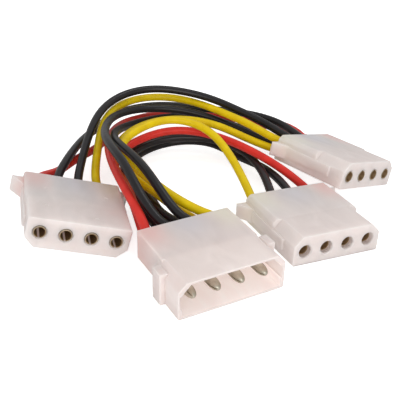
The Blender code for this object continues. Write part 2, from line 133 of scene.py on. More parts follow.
# Wire ends, as the solids have them
WIRE_SPACING = 2.3 * MM
WIRE_INSERT = 6.0 * MM
WIRE_OUT = 0.6 * MM

# A wire's knots lie apart by its points' distance to this power, which keeps tight turns round
KNOT_POWER = 0.75

# Small detail, which the solids leave out or have in another size
REAR_EDGE = 1.0 * MM
MOUTH_ROUND = 0.2 * MM
PIN_HOLE = 1.4 * MM
SOCKET_HOLE = 1.33 * MM
# How far inside a socket's outer radius its painted shade stops
PAINTED_SHADE_MARGIN = 0.05 * MM
SOCKET_EDGE = 0.05 * MM
PIN_EDGE = 0.04 * MM
MARK_RADIUS = 0.4 * MM
MARK_DEPTH = 0.08 * MM
MARKS = ((6.2 * MM, 14.0 * MM), (6.5 * MM, 6.0 * MM), (-3.3 * MM, 3.0 * MM),
         (-6.4 * MM, 13.2 * MM))
SEAM_WIDTH = 0.34 * MM
SEAM_FLOOR = 0.3 * MM
CRIMP_ROUND = 0.5 * MM

# How far each pin's seam is turned from the top, in degrees
SEAM_TURNS = (-50, -86, -88, -92)

# A pin's rounded tip: shares of its radius and of the tip's length
BULLET = ((0.22, 0.0), (0.42, 0.07), (0.62, 0.2), (0.8, 0.42), (0.93, 0.7), (1.0, 1.0))

# Sockets: how far behind the mating face they stand, and their crimps' height for one wire or two
SOCKETS = (("left", 0.05 * MM, CRIMP_SINGLE), ("right", 1.25 * MM, CRIMP_SINGLE),
           ("far", 0.05 * MM, CRIMP_DOUBLE))

# Painted see-through: wire colours painted into the nylon's back as light that comes through the
# wall, the grey one as painted shade of the black wires: colour, side and middle across, and reach
PAINTED_SEE_THROUGH_FROM = 9.0 * MM
PAINTED_SEE_THROUGH_TO = 20.0 * MM
PAINTED_SEE_THROUGH = (("#D9D6DC", 0, 6.0 * MM), ("#F8C8C2", 1, 4.8 * MM), ("#F4EEDC", -1, 4.8 * MM))
PAINTED_SEE_THROUGH_MIDDLE = 8.4 * MM

# The painted glow, an emission that stands in for light through the shroud's thin walls, stops this
# far inside its sides, its roof, its floor for the pins, its flat side and its rim
GLOW_SIDE = 0.6 * MM
GLOW_ROOF = 0.3 * MM
GLOW_BACK = -0.1 * MM
GLOW_FLAT = 0.25 * MM
GLOW_RIM = 0.15 * MM

# The studio: where its two lights stand, how large they are, and the floor's size and white
KEY_PLACE = (0.05, -0.41, 0.11)
KEY_SIZE = 0.40
TOP_PLACE = (0.10, 0.10, 0.40)
TOP_SIZE = 0.12
FLOOR_HALF = 1.5
FLOOR_DROP = 0.02 * MM
FLOOR_WHITE = 0.7

# A connector: how its terminals' names start, its mount, and the mount's depth and height
CONNECTORS = {
    "front": ("pin_front", "mating_face_pin_connector", SHROUD_DEPTH, PIN_HEIGHT),
    "left": ("socket_left", "mating_face_socket_left", 0.0, WAY_HEIGHT),
    "right": ("socket_right", "mating_face_socket_right", 0.0, WAY_HEIGHT),
    "far": ("socket_far", "mating_face_socket_far", 0.0, WAY_HEIGHT),
}

# Wires: colour, the two ways that it joins (connector, way from its left, level in the way), its
# length, and the points of its free run in millimetres
WIRES = {
    "black_outer": ("black", ("left", 2, 0), ("far", 1, 1), 0.1066, [
        (-30.7, 2.2, 5.6), (-31.4, 9.5, 7.3), (-31.3, 17.1, 9.4), (-30.8, 25.0, 11.3),
        (-29.1, 32.8, 13.1), (-24.6, 39.3, 14.7), (-17.6, 43.2, 15.3), (-9.6, 44.2, 14.7),
        (-1.6, 43.0, 13.4), (5.8, 40.1, 11.6), (12.7, 36.3, 9.7), (18.9, 31.4, 7.8)]),
    "yellow_outer": ("yellow", ("left", 3, 0), ("far", 0, 1), 0.1049, [
        (-26.3, 3.3, 4.3), (-28.2, 11.0, 5.9), (-28.7, 19.2, 8.4), (-28.9, 27.8, 10.0),
        (-27.2, 36.3, 11.3), (-22.1, 43.2, 12.1), (-13.8, 46.0, 12.2), (-5.4, 44.2, 11.6),
        (1.9, 39.3, 10.9), (8.7, 33.8, 10.0), (15.2, 28.0, 8.7)]),
    "black_inner": ("black", ("left", 1, 0), ("far", 2, 1), 0.1188, [
        (-35.2, 1.1, 6.9), (-35.0, 8.9, 7.8), (-34.2, 17.2, 7.9), (-33.0, 25.5, 7.6),
        (-31.1, 33.9, 7.2), (-28.0, 41.7, 7.8), (-21.3, 46.5, 8.8), (-13.0, 48.3, 9.1),
        (-4.6, 48.8, 8.5), (3.9, 49.2, 7.9), (12.1, 47.6, 7.4), (18.7, 42.4, 6.9),
        (22.9, 35.1, 6.4)]),
    "red_outer": ("red", ("left", 0, 0), ("far", 3, -1), 0.1377, [
        (-39.2, 0.2, 7.8), (-36.9, 7.9, 6.0), (-34.6, 15.8, 5.2), (-32.0, 23.7, 4.3),
        (-29.8, 32.0, 3.5), (-28.4, 40.5, 3.0), (-25.8, 48.7, 2.9), (-20.7, 55.5, 2.7),
        (-13.3, 59.9, 2.5), (-4.9, 61.5, 2.3), (3.7, 60.8, 2.3), (11.9, 58.2, 2.6),
        (19.2, 53.6, 3.0), (23.8, 46.5, 3.1), (26.3, 38.3, 2.9)]),
    "black_far_a": ("black", ("front", 1, 1), ("far", 1, -1), 0.1234, [
        (-11.0, -15.6, 7.1), (-16.1, -9.7, 11.0), (-20.0, -2.5, 13.7), (-23.7, 5.4, 14.2),
        (-26.2, 13.8, 13.6), (-27.0, 22.4, 12.6), (-26.0, 31.0, 11.7), (-21.4, 38.3, 11.0),
        (-13.5, 41.9, 10.3), (-4.8, 42.0, 9.2), (3.4, 39.6, 7.5), (11.1, 35.9, 5.8),
        (18.3, 31.0, 5.1)]),
    "black_far_b": ("black", ("front", 2, 1), ("far", 2, -1), 0.1271, [
        (-6.8, -13.2, 7.3), (-12.1, -7.6, 10.8), (-16.3, -0.8, 12.8), (-20.5, 6.3, 13.1),
        (-23.8, 13.9, 12.2), (-24.9, 22.0, 10.7), (-23.9, 30.1, 9.0), (-20.8, 37.8, 7.6),
        (-15.2, 43.9, 6.9), (-7.6, 47.2, 6.5), (0.7, 46.9, 5.7), (8.4, 43.9, 4.7),
        (15.7, 39.9, 4.3), (22.1, 34.5, 4.0)]),
    "yellow_far": ("yellow", ("front", 3, -1), ("far", 0, -1), 0.1076, [
        (-2.5, -10.5, 4.5), (-8.6, -5.4, 5.2), (-14.0, 0.4, 6.1), (-19.1, 6.7, 6.6),
        (-22.6, 13.9, 7.4), (-23.8, 21.8, 8.0), (-20.9, 29.2, 8.9), (-15.0, 34.7, 9.5),
        (-7.3, 36.8, 9.4), (0.7, 35.5, 8.5), (7.8, 31.8, 7.1), (14.6, 27.5, 6.3)]),
    "red_far": ("red", ("front", 0, 1), ("far", 3, 1), 0.1403, [
        (-14.1, -17.5, 6.8), (-17.6, -9.8, 8.9), (-21.1, -1.8, 10.1), (-23.8, 6.5, 10.2),
        (-25.6, 15.0, 9.6), (-26.5, 23.6, 8.6), (-26.4, 32.2, 7.5), (-24.3, 40.6, 6.5),
        (-19.5, 47.8, 5.6), (-12.4, 52.8, 5.0), (-3.9, 54.4, 4.8), (4.6, 52.7, 4.6),
        (12.4, 48.9, 4.7), (19.4, 43.7, 4.8), (25.7, 38.1, 5.1)]),
    "yellow_near": ("yellow", ("front", 3, 1), ("right", 0, 0), 0.1047, [
        (-2.5, -10.7, 7.1), (-9.3, -5.9, 8.2), (-15.3, 0.2, 9.5), (-20.0, 7.4, 10.0),
        (-22.4, 15.5, 10.5), (-18.4, 22.7, 12.1), (-10.9, 26.7, 13.0), (-2.8, 25.3, 11.5),
        (2.5, 19.2, 8.7), (5.9, 11.8, 6.0), (8.5, 4.0, 3.5)]),
    "red_near": ("red", ("front", 0, -1), ("right", 3, 0), 0.1163, [
        (-14.1, -17.4, 4.4), (-16.4, -9.9, 5.7), (-18.8, -2.1, 6.5), (-21.2, 5.7, 5.9),
        (-23.8, 13.6, 5.0), (-23.8, 21.6, 5.5), (-18.5, 27.4, 7.4), (-11.0, 30.1, 8.8),
        (-3.0, 29.5, 8.7), (4.4, 26.4, 7.8), (11.1, 21.8, 6.5), (17.2, 16.8, 4.7),
        (22.0, 10.3, 3.2)]),
    "black_near_a": ("black", ("front", 1, -1), ("right", 1, 0), 0.1170, [
        (-10.1, -15.0, 4.2), (-14.4, -8.2, 4.3), (-17.1, -0.5, 4.2), (-20.0, 7.3, 3.9),
        (-22.0, 15.3, 3.6), (-21.8, 23.4, 3.8), (-17.3, 30.0, 4.9), (-9.8, 33.1, 5.7),
        (-1.6, 32.8, 5.8), (5.6, 29.0, 5.3), (10.1, 22.3, 4.4), (12.2, 14.4, 3.8),
        (13.3, 6.2, 3.2)]),
    "black_near_b": ("black", ("front", 2, -1), ("right", 2, 0), 0.1228, [
        (-6.0, -12.6, 4.4), (-11.3, -5.9, 3.8), (-14.3, 2.3, 3.1), (-17.5, 10.3, 2.3),
        (-20.2, 18.6, 1.6), (-21.0, 27.1, 1.3), (-16.9, 34.6, 1.7), (-9.3, 38.4, 2.5),
        (-0.9, 37.0, 2.8), (5.4, 31.1, 2.4), (10.8, 24.3, 2.9), (15.0, 16.7, 3.2),
        (17.7, 8.3, 3.1)]),
}


def linear(text):
    """An sRGB hex colour as linear red, green, blue and alpha."""
    parts = [int(text[i:i + 2], 16) / 255 for i in (1, 3, 5)]
    return tuple(part / 12.92 if part <= 0.04045 else ((part + 0.055) / 1.055) ** 2.4
                 for part in parts) + (1.0,)


# Materials

NYLON = "natural nylon, injection moulded, "
TIN = "tin plated brass, rolled, "


def add_node(tree, kind, inputs=None, **settings):
    """Adds one node; each input is a plain value or another node's output."""
    made = tree.nodes.new(kind)
    for key, value in settings.items():
        setattr(made, key, value)
    for key, value in (inputs or {}).items():
        if isinstance(value, bpy.types.NodeSocket):
            tree.links.new(value, made.inputs[key])
        else:
            made.inputs[key].default_value = value
    return made


def math_node(tree, operation, first, second=0.0):
    """One sum on two values."""
    return add_node(tree, "ShaderNodeMath", {0: first, 1: second}, operation=operation).outputs[0]


def mix(tree, share, first, second):
    """The first colour, with a share of the second in it."""
    return add_node(tree, "ShaderNodeMix", {0: share, 6: first, 7: second},
                    data_type="RGBA").outputs[2]


def new_material(name, own=False):
    """An empty material with its shader and its places, a piece's own ones where own is set."""
    made = bpy.data.materials.new(name)
    made.use_nodes = True
    tree = made.node_tree
    tree.nodes.clear()
    shader = add_node(tree, "ShaderNodeBsdfPrincipled")
    add_node(tree, "ShaderNodeOutputMaterial", {"Surface": shader.outputs[0]})
    place = add_node(tree, "ShaderNodeTexCoord").outputs["Object"]
    if own:
        place = add_node(tree, "ShaderNodeAttribute", attribute_name="own_place").outputs["Vector"]
    return made, tree, shader, place


def noise(tree, place, size, detail=2.0, stretch=None, distortion=0.0):
    """Noise whose blotches are about one size across, drawn out where stretch is below one."""
    if stretch:
        place = add_node(tree, "ShaderNodeMapping", {"Vector": place, "Scale": stretch}).outputs[0]
    return add_node(tree, "ShaderNodeTexNoise", {
        "Vector": place, "Scale": 1 / size, "Detail": detail,
        "Distortion": distortion}).outputs["Fac"]


def between(tree, value, low, high, start=0.3, stop=0.7, kind="LINEAR"):
    """A value mapped from the range of start to stop to the range of low to high."""
    return add_node(tree, "ShaderNodeMapRange", {
        "Value": value, "From Min": start, "From Max": stop, "To Min": low, "To Max": high},
        interpolation_type=kind).outputs[0]


def two_tone(tree, value, first, second):
    """A pattern mapped from one colour to another."""
    return mix(tree, value, linear(first), linear(second))


def moulded_nylon(name, settings, shroud):
    """Natural nylon 6/6, injection moulded: milky and faintly clouded along the flow of the melt.

    The eye sees a soft inner glow at thin walls, painted as a faint emission, and a satin skin with
    the mould's fine spark grain. At the back the wires' colours through the wall are painted into
    the base colour as their light, the grey one as painted shade. The housing with the shroud has
    red on its left.
    """
    made, tree, shader, place = new_material(name, own=True)
    cloud = noise(tree, place, 5.0 * MM, 3.0, (1.0, 0.45, 1.0), 0.8)
    tone = mix(tree, between(tree, cloud, 0.0, 1.0), tuple(settings.nylon) + (1.0,),
               tuple(settings.nylon_cloud) + (1.0,))
    across, back, up = add_node(tree, "ShaderNodeSeparateXYZ", {0: place}).outputs
    # Painted see-through: towards the back, each wire's colour is mixed into the base colour near
    # its way, as painted light from the wires through the nylon; the grey one is painted shade
    rear = between(tree, back, 0.0, settings.painted_see_through, PAINTED_SEE_THROUGH_FROM, PAINTED_SEE_THROUGH_TO, "SMOOTHSTEP")
    red_side = -1 if shroud else 1
    for colour, side, reach in PAINTED_SEE_THROUGH:
        middle = PAINTED_SEE_THROUGH_MIDDLE * side * red_side
        away = math_node(tree, "ABSOLUTE", math_node(tree, "SUBTRACT", across, middle))
        near = between(tree, away, 1.0, 0.0, 0.0, reach, "SMOOTHSTEP")
        tone = mix(tree, math_node(tree, "MULTIPLY", near, rear), tone, linear(colour))
    grain = noise(tree, place, 0.22 * MM, 2.0)
    waves = noise(tree, place, 2.6 * MM, 1.0)
    height = math_node(tree, "ADD", between(tree, grain, 0.0, 0.35), waves)
    bump = add_node(tree, "ShaderNodeBump", {
        "Height": height, "Strength": 0.35, "Distance": 0.03 * MM})
    tree.links.new(tone, shader.inputs["Base Color"])
    tree.links.new(between(tree, cloud, 0.36, 0.5), shader.inputs["Roughness"])
    tree.links.new(bump.outputs[0], shader.inputs["Normal"])
    shader.inputs["IOR"].default_value = 1.53
    shader.inputs["Subsurface Weight"].default_value = 1.0
    shader.inputs["Subsurface Radius"].default_value = (1.0, 0.97, 0.95)
    depth = settings.glow_depth * (settings.shroud_depth if shroud else 1.0)
    shader.inputs["Subsurface Scale"].default_value = depth
    # Painted glow: a faint emission in the nylon's colour, standing in for light scattered back out
    # of the milky walls
    tree.links.new(tone, shader.inputs["Emission Color"])
    shader.inputs["Emission Strength"].default_value = settings.painted_glow
    if shroud:
        painted_glow = shroud_painted_glow(tree, across, back, up, settings)
        tree.links.new(painted_glow, shader.inputs["Emission Strength"])
    return made


def shroud_painted_glow(tree, across, back, up, settings):
    """The painted glow's strength, an emission: more inside the shroud, standing in for the light
    that its thin walls gather.

    It is kept off the outer faces and the cut corners.
    """
    across = math_node(tree, "ABSOLUTE", across)
    share = settings.shroud_painted_glow - settings.painted_glow
    corner = SHROUD_WIDTH / 2 + SHROUD_HEIGHT - SHROUD_CUT - GLOW_SIDE
    limits = (
        (across, SHROUD_WIDTH / 2 - GLOW_SIDE, "LESS_THAN"),
        (up, SHROUD_HEIGHT - GLOW_ROOF, "LESS_THAN"),
        (back, SHROUD_DEPTH - GLOW_BACK, "LESS_THAN"),
        (math_node(tree, "ADD", across, up), corner, "LESS_THAN"),
        (up, GLOW_FLAT, "GREATER_THAN"),
        (back, GLOW_RIM, "GREATER_THAN"),
    )
    for value, limit, side in limits:
        share = math_node(tree, "MULTIPLY", math_node(tree, side, value, limit), share)
    return math_node(tree, "ADD", share, settings.painted_glow)


def extruded_pvc(name, settings, colour):
    """PVC insulation, extruded over stranded copper: smooth and softly glossy.

    The eye sees one long highlight that wanders a little where the strands press through the skin.
    """
    first, second = {
        "black": ("#1C181B", "#151214"),
        "red": ("#EA3A30", "#DA3229"),
        "yellow": ("#F8D80A", "#E8C604"),
    }[colour]
    made, tree, shader, place = new_material(name)
    smear = noise(tree, place, 3.0 * MM, 2.0)
    strands = noise(tree, place, 0.8 * MM, 2.0)
    dust = noise(tree, place, 0.15 * MM, 1.0)
    tone = two_tone(tree, between(tree, smear, 0.0, 1.0), first, second)
    tree.links.new(tone, shader.inputs["Base Color"])
    rough = between(tree, dust, settings.gloss, settings.gloss + 0.12)
    tree.links.new(rough, shader.inputs["Roughness"])
    bump = add_node(tree, "ShaderNodeBump", {
        "Height": strands, "Strength": 0.4, "Distance": 0.04 * MM})
    tree.links.new(bump.outputs[0], shader.inputs["Normal"])
    shader.inputs["IOR"].default_value = 1.53
    shader.inputs["Specular IOR Level"].default_value = 0.4 if colour == "black" else 0.22
    return made


def rolled_tin(name, settings, painted_shade_reach):
    """Brass strip, tin plated and rolled: a dull warm grey metal with faint lines along the strip.

    The eye sees the bore and the rim of a socket as brown: a painted shade for the dark inside the
    mouth. It is laid on all that lies closer to the axis than the given reach, which takes in the
    neck and the crimp's middle too.
    """
    made, tree, shader, place = new_material(name, own=True)
    lines = noise(tree, place, 0.35 * MM, 3.0, (1.0, 0.12, 1.0))
    blotch = noise(tree, place, 1.2 * MM, 2.0)
    tone = two_tone(tree, between(tree, blotch, 0.0, 1.0), "#D0CABC", "#B5AE9E")
    across, _, up = add_node(tree, "ShaderNodeSeparateXYZ", {0: place}).outputs
    flat = add_node(tree, "ShaderNodeCombineXYZ", {0: across, 1: up}).outputs[0]
    reach = add_node(tree, "ShaderNodeVectorMath", {0: flat}, operation="LENGTH").outputs["Value"]
    # Painted shade: brown on all that lies closer to the axis than the reach, for the dark inside a
    # socket's mouth
    tone = mix(tree, math_node(tree, "LESS_THAN", reach, painted_shade_reach), tone, linear("#B39A78"))
    tree.links.new(tone, shader.inputs["Base Color"])
    rough = between(tree, lines, settings.tin_gloss, settings.tin_gloss + 0.18)
    tree.links.new(rough, shader.inputs["Roughness"])
    bump = add_node(tree, "ShaderNodeBump", {
        "Height": lines, "Strength": 0.3, "Distance": 0.02 * MM})
    tree.links.new(bump.outputs[0], shader.inputs["Normal"])
    shader.inputs["Metallic"].default_value = 1.0
    return made


def shared_material(name, make, *details):
    """A material that several pieces share, made on first use."""
    if name not in bpy.data.materials:
        make(name, *details)
    return bpy.data.materials[name]


# Shapes

def place_object(name, data):
    """An object in the scene for a mesh, a curve, a light or a camera."""
    made = bpy.data.objects.new(name, data)
    bpy.context.scene.collection.objects.link(made)
    return made


def mesh_object(name, bm):
    """An object for an edited mesh, with its faces turned outwards."""
    bmesh.ops.recalc_face_normals(bm, faces=bm.faces)
    mesh = bpy.data.meshes.new(name)
    bm.to_mesh(mesh)
    bm.free()
    return place_object(name, mesh)


def rounded(outline, radius, steps=3):
    """An outline of (x, z) with each corner turned into a short arc."""
    points = []
    count = len(outline)
    for i in range(count):
        corner = Vector(outline[i])
        before = Vector(outline[i - 1]) - corner
        after = Vector(outline[(i + 1) % count]) - corner
        turn = before.angle(after)
        back = min(radius / math.tan(turn / 2), before.length * 0.45, after.length * 0.45)
        a, b = corner + before.normalized() * back, corner + after.normalized() * back
        for k in range(steps + 1):
            t = k / steps
            points.append(tuple(a * (1 - t) ** 2 + corner * 2 * t * (1 - t) + b * t ** 2))
    return points


def loft(name, sections):
    """A closed body through (y, outline) sections; each outline lists the same number of (x, z)."""
    bm = bmesh.new()
    rings = [[bm.verts.new((x, y, z)) for x, z in outline] for y, outline in sections]
    bm.faces.new(rings[0])
    bm.faces.new(rings[-1])
    for a, b in zip(rings, rings[1:]):
        for i in range(len(a)):
            j = (i + 1) % len(a)
            bm.faces.new((a[i], a[j], b[j], b[i]))
    return mesh_object(name, bm)


def plate(name, outline, low, high):
    """A plan outline of (x, y) carried up from low to high."""
    bm = bmesh.new()
    base = bm.faces.new([bm.verts.new((x, y, low)) for x, y in outline])
    grown = bmesh.ops.extrude_face_region(bm, geom=[base])
    verts = [v for v in grown["geom"] if isinstance(v, bmesh.types.BMVert)]
    bmesh.ops.translate(bm, verts=verts, vec=(0.0, 0.0, high - low))
    return mesh_object(name, bm)


def block(name, width, y0, y1, z0, z1, x=0.0):
    """A box between two depths and two heights, centred across on x."""
    outline = [(x - width / 2, y0), (x + width / 2, y0), (x + width / 2, y1), (x - width / 2, y1)]
    return plate(name, outline, z0, z1)


def turned(name, profile, x=0.0, z=0.0, steps=40):
    """A profile of (radius, y) spun once around a line along Y; it starts and ends on that line."""
    bm = bmesh.new()
    verts = [bm.verts.new((x + r, y, z)) for r, y in profile]
    edges = [bm.edges.new(pair) for pair in zip(verts, verts[1:])]
    bmesh.ops.spin(bm, geom=verts + edges, cent=(x, 0.0, z), axis=(0.0, 1.0, 0.0),
                   angle=2 * math.pi, steps=steps, use_merge=True)
    bmesh.ops.remove_doubles(bm, verts=bm.verts, dist=WELD)
    return mesh_object(name, bm)


def combine(body, tools, operation):
    """Joins or cuts with each tool in turn, then keeps the result as the body's own mesh."""
    for tool in tools:
        step = body.modifiers.new(tool.name, "BOOLEAN")
        step.operation = operation
        step.solver = "EXACT"
        step.object = tool
    graph = bpy.context.evaluated_depsgraph_get()
    made = bpy.data.meshes.new_from_object(body.evaluated_get(graph))
    body.modifiers.clear()
    body.data = made
    for tool in tools:
        bpy.data.objects.remove(tool, do_unlink=True)
    return body


def take_mesh(obj, name, edge=None):
    """The object's mesh on its own, with its edges rounded first where edge is given."""
    if edge:
        step = obj.modifiers.new("edge", "BEVEL")
        step.width = edge
        step.segments = 2
        step.limit_method = "ANGLE"
        step.angle_limit = EDGE_ANGLE
        graph = bpy.context.evaluated_depsgraph_get()
        mesh = bpy.data.meshes.new_from_object(obj.evaluated_get(graph))
    else:
        mesh = obj.data
    bpy.data.objects.remove(obj, do_unlink=True)
    mesh.name = name
    mesh.shade_smooth()
    mesh.set_sharp_from_angle(angle=SHARP_ANGLE)
    return mesh


def dress(mesh, material):
    """Gives the whole mesh one material."""
    mesh.materials.clear()
    mesh.materials.append(material)


def set_down(name, mesh, matrix):
    """A copy of the mesh at its place in the row frame; each vertex remembers its own place."""
    copy = mesh.copy()
    own = copy.attributes.new("own_place", "FLOAT_VECTOR", "POINT")
    for vert, value in zip(copy.vertices, own.data):
        value.vector = vert.co
    copy.transform(matrix)
    return place_object(name, copy)


def way_x(way):
    """A way's place across its connector."""
    return (way - (WAYS - 1) / 2) * PITCH


def cut_corner_outline(width, height, cut, low=0.0):
    """A connector's section: flat side down and the two upper corners cut off."""
    half = width / 2
    return [(-half, low), (half, low), (half, low + height - cut), (half - cut, low + height),
            (cut - half, low + height), (-half, low + height - cut)]


def connector_matrix(key):
    """A connector's own axes in the row frame, from its first and last terminals and its mount."""
    prefix, mount_name, depth, height = CONNECTORS[key]
    ends = [sum(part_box(f"{prefix}_{way}"), Vector()) / 2 for way in (1, WAYS)]
    mount = next(m for m in frame["record"]["mounts"] if m["name"] == mount_name)
    back = -Vector(mount["axis"]).normalized()
    across = (ends[1] - ends[0]).normalized()
    across = (across - back * across.dot(back)).normalized()
    up = across.cross(back)
    turn = Matrix((across, back, up)).transposed().to_4x4()
    place = Matrix.Translation(Vector(mount["pos_m"]))
    return place @ turn @ Matrix.Translation((0.0, -depth, -height))


def settle(obj, slot, *nodes):
    """Puts a finished piece on the cable's body, in place of the solids that it stands for."""
    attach(obj, "root")
    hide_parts(*nodes)


# Wires

def way_point(key, way, level, back):
    """A point on a way's line behind the rear face; ways count from the left as it lies."""
    x = way_x(way)
    if key == "left":
        x = -x
    depth, height = (PIN_DEPTH, REAR_LEVEL) if key == "front" else (SOCKET_DEPTH, WAY_HEIGHT)
    return connector_matrix(key) @ Vector((x, depth + back, height + level * WIRE_SPACING / 2))


def smooth_curve(points, steps=24):
    """Close points along a natural cubic curve through the given points, as in the solids."""
    count = len(points)
    knots = [0.0]
    for a, b in zip(points, points[1:]):
        knots.append(knots[-1] + ((b - a).length / MM) ** KNOT_POWER)
    gaps = [b - a for a, b in zip(knots, knots[1:])]
    bends = [Vector((0.0, 0.0, 0.0)) for _ in points]
    ratio, shift = [0.0] * count, [Vector((0.0, 0.0, 0.0)) for _ in points]
    for i in range(1, count - 1):
        slope = ((points[i + 1] - points[i]) / gaps[i]
                 - (points[i] - points[i - 1]) / gaps[i - 1])
        pivot = 2 * (gaps[i - 1] + gaps[i]) - gaps[i - 1] * ratio[i - 1]
        ratio[i] = gaps[i] / pivot
        shift[i] = (6 * slope - gaps[i - 1] * shift[i - 1]) / pivot
    for i in range(count - 2, 0, -1):
        bends[i] = shift[i] - ratio[i] * bends[i + 1]
    fine = []
    for i in range(count - 1):
        line = ((points[i + 1] - points[i]) / gaps[i]
                - gaps[i] * (2 * bends[i] + bends[i + 1]) / 6)
        cube = (bends[i + 1] - bends[i]) / (6 * gaps[i])
        for step in range(steps):
            u = gaps[i] * step / steps
            fine.append(points[i] + line * u + bends[i] / 2 * u ** 2 + cube * u ** 3)
    return fine + [points[-1]]


def even_run(fine, spacing):
    """Points at even distances along close ones."""
    reach = [0.0]
    for a, b in zip(fine, fine[1:]):
        reach.append(reach[-1] + (b - a).length)
    total = max(2, round(reach[-1] / spacing))
    run, j = [], 0
    for i in range(total + 1):
        goal = reach[-1] * i / total
        while j < len(fine) - 2 and reach[j + 1] < goal:
            j += 1
        part = (goal - reach[j]) / (reach[j + 1] - reach[j])
        run.append(fine[j].lerp(fine[j + 1], part))
    return run


class WireSettings(bpy.types.PropertyGroup):
    radius: FloatProperty(
        name="Radius", description="Radius over the insulation", default=1.0 * MM,
        unit="LENGTH", subtype="DISTANCE")
    step: FloatProperty(
        name="Step", description="Distance between a wire's points", default=1.2 * MM,
        unit="LENGTH", subtype="DISTANCE")
    sides: IntProperty(
        name="Roundness", description="Bevel resolution of a wire", default=6, min=2, max=12)
    gloss: FloatProperty(
        name="Roughness", description="Lowest roughness of the insulation", default=0.28,
        min=0.0, max=1.0, subtype="FACTOR")


class MakeWires(bpy.types.Operator):
    """Makes the twelve wires along the solids' routes"""
    bl_idname = "splitter.make_wires"
    bl_label = "Wires"

    def execute(self, context):
        settings = context.scene.splitter_wires
        backs = (-WIRE_INSERT, -WIRE_INSERT / 2, WIRE_OUT)
        for name, (colour, start, end, length, middle) in WIRES.items():
            route = [way_point(*start, back) for back in backs]
            route += [Vector(point) * MM for point in middle]
            route += [way_point(*end, back) for back in reversed(backs)]
            curve = bpy.data.curves.new(name, "CURVE")
            curve.dimensions = "3D"
            curve.bevel_depth = settings.radius
            curve.bevel_resolution = settings.sides
            curve.use_fill_caps = True
            run = even_run(smooth_curve(route), settings.step)
            line = curve.splines.new("POLY")
            line.points.add(len(run) - 1)
            for point, place in zip(line.points, run):
                point.co = (*place, 1.0)
            line.use_smooth = True
            curve.materials.append(shared_material(
                f"{colour} PVC, extruded", extruded_pvc, settings, colour))
            wire = place_object(f"insulated_wire_{name}", curve)
            settle(wire, f"{colour}_insulation", f"wire_{name}")
        return {"FINISHED"}


# Housings

class HousingSettings(bpy.types.PropertyGroup):
    edge: FloatProperty(
        name="Edge radius", description="Radius of the moulded edges", default=0.12 * MM,
        unit="LENGTH", subtype="DISTANCE")
    corner: FloatProperty(
        name="Corner radius", description="Radius of the long corners", default=0.35 * MM,
        unit="LENGTH", subtype="DISTANCE")
    funnel: FloatProperty(
        name="Lead-in", description="Radius of a socket hole at the mating face", default=1.55 * MM,
        unit="LENGTH", subtype="DISTANCE")
    lip: FloatProperty(
        name="Lead-in depth", description="How far back the lead-in reaches", default=0.5 * MM,
        unit="LENGTH", subtype="DISTANCE")
    nylon: FloatVectorProperty(
        name="Nylon", description="Colour of the nylon", subtype="COLOR", size=3, min=0.0, max=1.0,
        default=linear("#EADEDA")[:3])
    nylon_cloud: FloatVectorProperty(
        name="Clouding", description="Colour of the melt's clouds", subtype="COLOR", size=3,
        min=0.0, max=1.0, default=linear("#DFD3CF")[:3])
    glow_depth: FloatProperty(
        name="Glow depth", description="How far light spreads inside the nylon", default=2.8 * MM,
        unit="LENGTH", subtype="DISTANCE")
    # Painted glow: an emission on the nylon, standing in for light from its milky walls
    painted_glow: FloatProperty(
        name="Glow", description="Light that comes back out of the milky walls",
        default=0.09, min=0.0)
    # The same painted glow, stronger inside the shroud
    shroud_painted_glow: FloatProperty(
        name="Shroud glow", description="The same inside the shroud", default=0.33, min=0.0)
    shroud_depth: FloatProperty(
        name="Shroud depth", description="Share of the glow depth in the housing with the shroud",
        default=0.35, min=0.0, max=1.0, subtype="FACTOR")
    # Painted see-through: how strongly the wires' colours are painted into the nylon's back
    painted_see_through: FloatProperty(
        name="Wire tint", description="How much of the wires' colours shows through the back",
        default=0.75, min=0.0, max=1.0, subtype="FACTOR")


def wire_slot(way, front, rear, level):
    """The cutter for a way's slot, which holds the crimp and is open at the rear face."""
    return block("slot", SLOT_WIDTH, front, rear + PAST,
                 level - SLOT_HEIGHT / 2, level + SLOT_HEIGHT / 2, way_x(way))


def ejector_mark(x, y):
    """The cutter for a shallow round mark on the flat side."""
    profile = [(0.0, -MARK_RADIUS), (MARK_RADIUS, -MARK_RADIUS), (MARK_RADIUS, MARK_DEPTH),
               (0.0, MARK_DEPTH)]
    mark = turned("ejector_mark", profile, steps=16)
    upright = Matrix.Rotation(math.pi / 2, 4, "X")
    mark.data.transform(Matrix.Translation((x, y, 0.0)) @ upright)
    return mark


